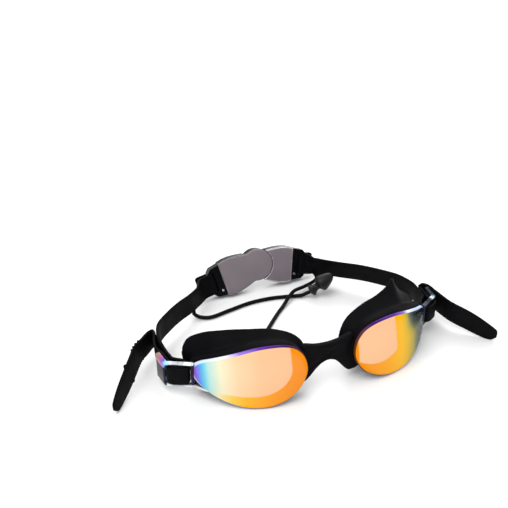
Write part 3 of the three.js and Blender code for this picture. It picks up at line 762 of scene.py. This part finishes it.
STRAP_WIDTH, STRAP_THICKNESS = 14, 1.6
RUNS = {
    "left": [(40, 104.8, 11.3), (44.6, 98.6, 12.2), (51.6, 90.9, 13.1), (61.4, 81.5, 14), (70.2, 72, 14.2),
             (77.8, 61.6, 14.4), (81.6, 52, 13.8)],
    "right": [(-45.5, 99, 11), (-52.9, 91.3, 12.6), (-61.2, 84.9, 13.6), (-69.6, 77.7, 14), (-79.2, 67.4, 14),
              (-82.2, 56, 13.8)],
}
TAILS = {
    "left": [(84.4, 46.2, 12.6), (86.6, 47.6, 12.7), (88.8, 45.4, 12.9), (90, 37.4, 12.9), (92.4, 24.8, 12.1),
             (99.5, 14.2, 9.4), (107.2, 5.4, 5.2), (111.5, 1.8, 2.9)],
    "right": [(-85.3, 49.6, 12.6), (-84.1, 57, 12.4), (-81.8, 65, 12), (-82.1, 68, 11.6), (-84.6, 67, 11.4),
              (-89.4, 62.2, 11.4), (-94.8, 56.6, 11.6), (-100.1, 47.7, 11), (-105.4, 39.5, 9.2), (-111.4, 31.4, 6),
              (-116.4, 24.9, 2.8)],
}
LUG_STRAP_WIDTH, LUG_STRAP_LIFT = 10.8, 0.7
TAIL_WIDTH = {"left": 14.8, "right": 12.4}
FOLD = [(41.5, -2.6), (38.4, -2.5), (35.4, -2.3), (33.2, -2.2), (31.7, -1.6), (31.1, 0), (31.7, 1.6), (33.2, 2.2),
        (35.4, 2.3)]
JOIN = [(38.2, 2.4), (39.8, 3)]
THREAD = [(25.4, -5.3), (21, -5.4), (18.3, -5.5), (11, -5.5), (7, -4.9), (4.2, -3.9), (2.2, -1.8), (1.7, 0),
          (2.1, 1.9), (4.2, 2.7), (7.6, 2.9), (10.6, 2.8), (12.8, 1.9), (13.6, 0.4), (13.9, -1.2), (14.8, -2.6),
          (17.4, -2.9), (21, -2.9), (25.4, -2.8)]
RUN_LEAN = {"left": 0.28, "right": 0.0}
TAIL_LEAN = {"left": -0.1, "right": 0.3}


def clasp_axes(side):
    sign = 1 if side == "left" else -1
    lean, droop = math.radians(18), math.radians(11 if side == "left" else 12)
    up = Vector((0, math.sin(lean), math.cos(lean)))
    level = Vector((sign, 0, 0))
    along = level * math.cos(droop) - up * math.sin(droop)
    high = up * math.cos(droop) + level * math.sin(droop)
    return along, high, Vector((0, -math.cos(lean), math.sin(lean)))


def clasp_point(side, a, b, n):
    along, high, front = clasp_axes(side)
    return PIVOT + (along * a + high * b + front * n) * MM


def strap_path(side):
    """Points, with the direction and the size of the strap's width at each one."""
    sign = 1 if side == "left" else -1
    high = clasp_axes(side)[1]
    fold = [(clasp_point(side, a, 0, n), high, STRAP_WIDTH) for a, n in FOLD]
    join = [(clasp_point(side, a, 0, n), high, STRAP_WIDTH) for a, n in JOIN] if side == "right" else []
    lean = RUN_LEAN[side]
    tilt = Vector((-sign * lean * 0.64, -lean * 0.77, 1)).normalized()
    runs = [(at(*p), tilt, STRAP_WIDTH) for p in RUNS[side]]
    thread = [(lug_point(side, s, n, LUG_STRAP_LIFT), Vector((0, 0, 1)), LUG_STRAP_WIDTH) for s, n in THREAD]
    tail = []
    for i, p in enumerate(TAILS[side]):
        share = min(2 * (i + 1) / len(TAILS[side]), 1)
        lean = Vector((sign * TAIL_LEAN[side] * share, -0.1 * share, 1)).normalized()
        tail.append((at(*p), lean, TAIL_WIDTH[side]))
    return fold + join + runs + thread + tail


# the strap is thickest where it folds round the clasp bar, and fills the window there
FOLD_AT, FOLD_SWELL, FOLD_SPREAD = 11.6, 1.7, 3.0
TIP_LENGTH, TIP_END = 27, 2.4
RIB_PITCH, RIB_START, RIB_END, RIB_HEIGHT = 2.5, 32, 42, 0.8
STOP_START, STOP_LENGTH, STOP_HEIGHT = 51, 3, 1.2


def rib_height(side, beyond):
    """Height of the grip ribs, and of the single stop after them, at a distance along the right strap's tail."""
    if side == "left":
        return 0.0
    if RIB_START < beyond < RIB_END:
        phase = (beyond - RIB_START) / RIB_PITCH % 1
        return RIB_HEIGHT * max(1 - abs(phase - 0.35) / 0.35, 0)
    if STOP_START < beyond < STOP_START + STOP_LENGTH:
        return STOP_HEIGHT * math.sin((beyond - STOP_START) / STOP_LENGTH * math.pi)
    return 0.0


def strap_section(width, edge, rib, thickness):
    """A band with rounded edges; a rib stands on its outer face and swells its two edges."""
    half = thickness / 2
    points = []
    for cx, cy, start in ((1, 1, 0), (-1, 1, 90), (-1, -1, 180), (1, -1, 270)):
        for i in range(6):
            a = math.radians(start + 90 * i / 5)
            x = cx * (width / 2 - edge) + edge * math.cos(a)
            y = cy * (half - edge) + edge * math.sin(a)
            points.append((x + cx * rib * 0.7, y + (rib * 0.5 if cy > 0 else 0)))
        if start in (0, 180):
            for i in range(1, 6):
                x = cx * (width / 2 - edge) * (1 - 2 * i / 6)
                points.append((x, cy * half + (rib * 0.15 if cy > 0 else 0)))
    return points


def add_strap(side):
    stations = strap_path(side)
    points = [p for p, _, _ in stations]
    total = 1000
    curve = spline(points, total)
    marks = [0.0]
    for a, b in zip(points, points[1:]):
        marks.append(marks[-1] + (b - a).length)
    length = sum((b - a).length for a, b in zip(curve, curve[1:])) / MM
    tail_start = marks[len(points) - len(TAILS[side])] / marks[-1]
    rings, place = [], 0
    for k, centre in enumerate(curve):
        u = k / (total - 1)
        while place < len(marks) - 2 and marks[place + 1] / marks[-1] < u:
            place += 1
        share = (u * marks[-1] - marks[place]) / max(marks[place + 1] - marks[place], 1e-9)
        share = min(max(share, 0), 1)
        across = stations[place][1].lerp(stations[place + 1][1], share)
        tangent = (curve[min(k + 1, total - 1)] - curve[max(k - 1, 0)]).normalized()
        across = (across - tangent * across.dot(tangent)).normalized()
        normal = tangent.cross(across)
        left = (1 - u) * length
        tip = min(left / TIP_LENGTH, 1)
        width = stations[place][2] * (1 - share) + stations[place + 1][2] * share
        width *= 0.3 + 0.7 * math.sqrt(max(1 - (1 - tip) ** 2, 0))
        if left < TIP_END:
            width *= math.sqrt(max(1 - (1 - left / TIP_END) ** 2, 0.02))
        width *= 0.88 + 0.12 * min(u * length / 1.5, 1)
        rib = rib_height(side, (u - tail_start) * length)
        thickness = STRAP_THICKNESS + FOLD_SWELL * math.exp(-((u * length - FOLD_AT) / FOLD_SPREAD) ** 2)
        section = strap_section(width, min(0.55, width * 0.3), rib, thickness)
        rings.append([centre + (across * x + normal * y) * MM for x, y in section])
    return make(f"strap_{side}", *loft(rings), silicone)


ROOT_LENGTH, ROOT_RISE, ROOT_FLARE, ROOT_THICKNESS = 1.2, 3.6, 3.4, 0.75


def cord_root(side):
    """The flare on the strap's lower edge that the ear plug cord grows out of."""
    start = at(*CORDS[side]["path"][0])
    toward = (at(*CORDS[side]["path"][1]) - start).normalized()
    first, second = (at(*p) for p in RUNS[side][0:2])
    along = (second - first).normalized()
    rings = []
    normal = along.cross(Vector((0, 0, 1))).normalized()
    for k in range(12):
        t = k / 11
        rise = ROOT_RISE * (1 - t) ** 1.5
        centre = start + toward * (ROOT_LENGTH * t * MM) + Vector((0, 0, rise * MM))
        wide = CORD_DIAMETER / 2 + ROOT_FLARE * (1 - t) ** 2.2
        thick = ROOT_THICKNESS + (CORD_DIAMETER / 2 + 0.02 - ROOT_THICKNESS) * t
        rings.append([centre + (along * (wide * math.cos(a)) + normal * (thick * math.sin(a))) * MM
                      for a in (i / 20 * 2 * math.pi for i in range(20))])
    return make("cord_root", *loft(rings), silicone)


strap_left = merged("strap_left", [add_strap("left"), cord_root("left")])
finish_piece(strap_left, ["strap_left"], "goggles")
strap_right = merged("strap_right", [add_strap("right"), cord_root("right")])
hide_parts("strap_right", "strap_right_end")
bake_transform(strap_right)


# ---- clasp ----

for side, body in (("left", "goggles"), ("right", "clasp_right")):
    from_cad(f"clasp_body_{side}", f"clasp_body_{side}", [gloss_black], 0.35, body)
    # the plate's rounded edges take the second material, a painted highlight
    from_cad(f"clasp_plate_{side}", f"clasp_plate_{side}", [satin_grey, plate_edge_painted_highlight], 0.35, body)
    from_cad(f"clasp_rivet_{side}", f"clasp_rivet_{side}", [steel], 0.2, body)
from_cad("clasp_stud", "clasp_stud", [gloss_black], 0.35, "goggles")


# ---- floor and light ----

def add_floor():
    m, tree, shader = material("floor_white", (0.9, 0.9, 0.9), Roughness=0.7)
    tree.links.new(ramp(tree, noise_field(tree, 3, 3), [(0.3, grey(0.89)), (0.7, grey(0.92))]).outputs["Color"],
                   shader.inputs["Base Color"])
    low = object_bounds()[0].z
    verts = [(-4, -4, low), (4, -4, low), (4, 4, low), (-4, 4, low)]
    floor = make("floor", verts, [(0, 1, 2, 3)], m)


def add_light(name, place, target, size, power, colour=(1, 1, 1)):
    data = bpy.data.lights.new(name, "AREA")
    data.shape = "RECTANGLE"
    data.size, data.size_y = size
    data.energy = power
    data.color = colour
    lamp = bpy.data.objects.new(name, data)
    bpy.context.scene.collection.objects.link(lamp)
    lamp.location = place
    lamp.rotation_mode = "QUATERNION"
    lamp.rotation_quaternion = (Vector(target) - Vector(place)).to_track_quat("-Z", "Y")


def add_world():
    world = bpy.data.worlds.new("studio")
    bpy.context.scene.world = world
    world.use_nodes = True
    background = world.node_tree.nodes["Background"]
    background.inputs["Color"].default_value = (1, 1, 1, 1)
    background.inputs["Strength"].default_value = 0.9


add_floor()
add_light("key", (-0.5, -0.2, 1.1), (0, 0, 0), (0.9, 0.9), 8)
add_light("back", (0.4, 0.9, 0.8), (0, 0.02, 0), (0.8, 0.5), 6)
add_world()
